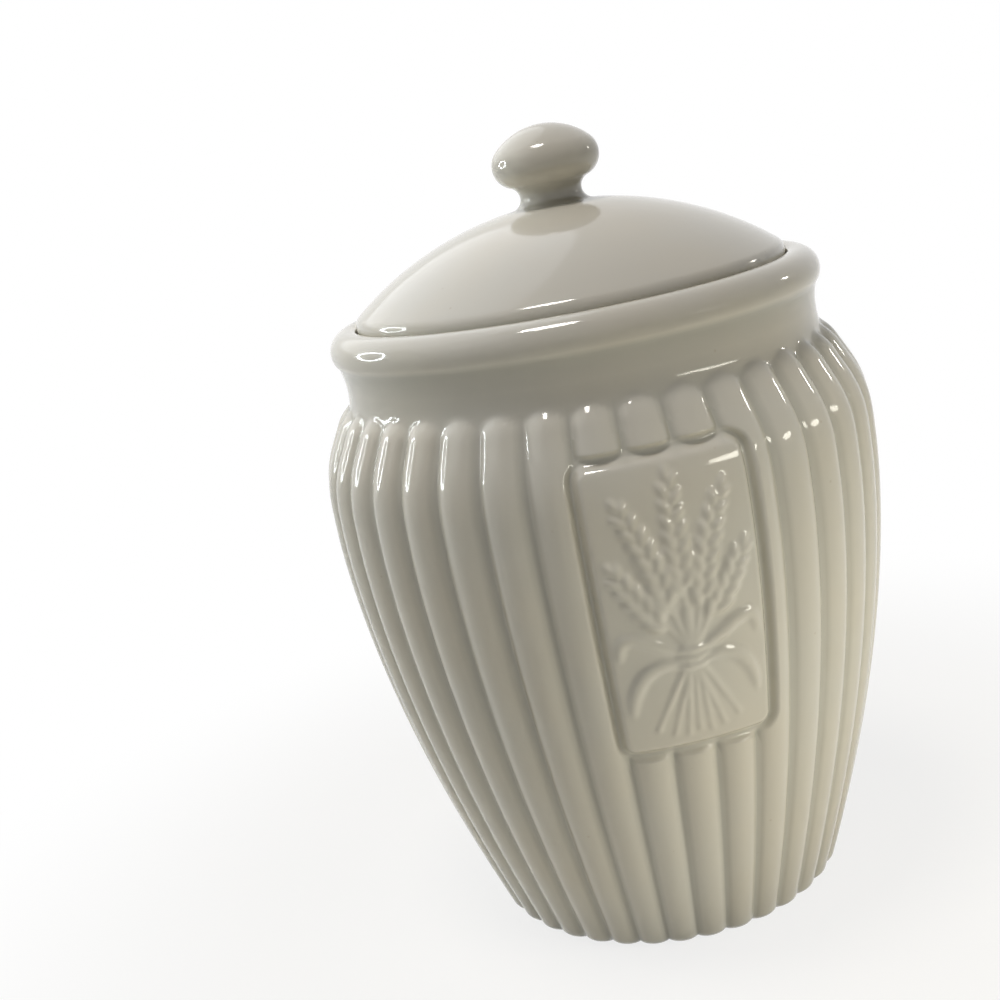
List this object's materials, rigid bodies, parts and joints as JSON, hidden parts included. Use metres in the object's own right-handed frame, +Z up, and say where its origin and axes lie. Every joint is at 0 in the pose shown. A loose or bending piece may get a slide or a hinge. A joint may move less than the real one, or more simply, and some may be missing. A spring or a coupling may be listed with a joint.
{
  "type": "cookie jar",
  "caption": "Round glazed stoneware cookie jar with a reeded belly, a plain raised panel and a domed lid with a ball knob that drops into the lip.",
  "frame": {"origin": "middle of the foot ring, on the table", "axes": "+Z up along the jar's axis, the raised panel facing -Y"},
  "size_m": [0.1738, 0.174, 0.2504],
  "materials": {
    "glaze": "gloss"
  },
  "bodies": {
    "jar": {"jar": "glaze"},
    "lid": {"lid": "glaze"}
  },
  "joints": [
    {"name": "lid_lift", "type": "slide", "parent": "jar", "child": "lid", "axis": [0, 0, 1], "range_m": [0, 0.1]}
  ]
}
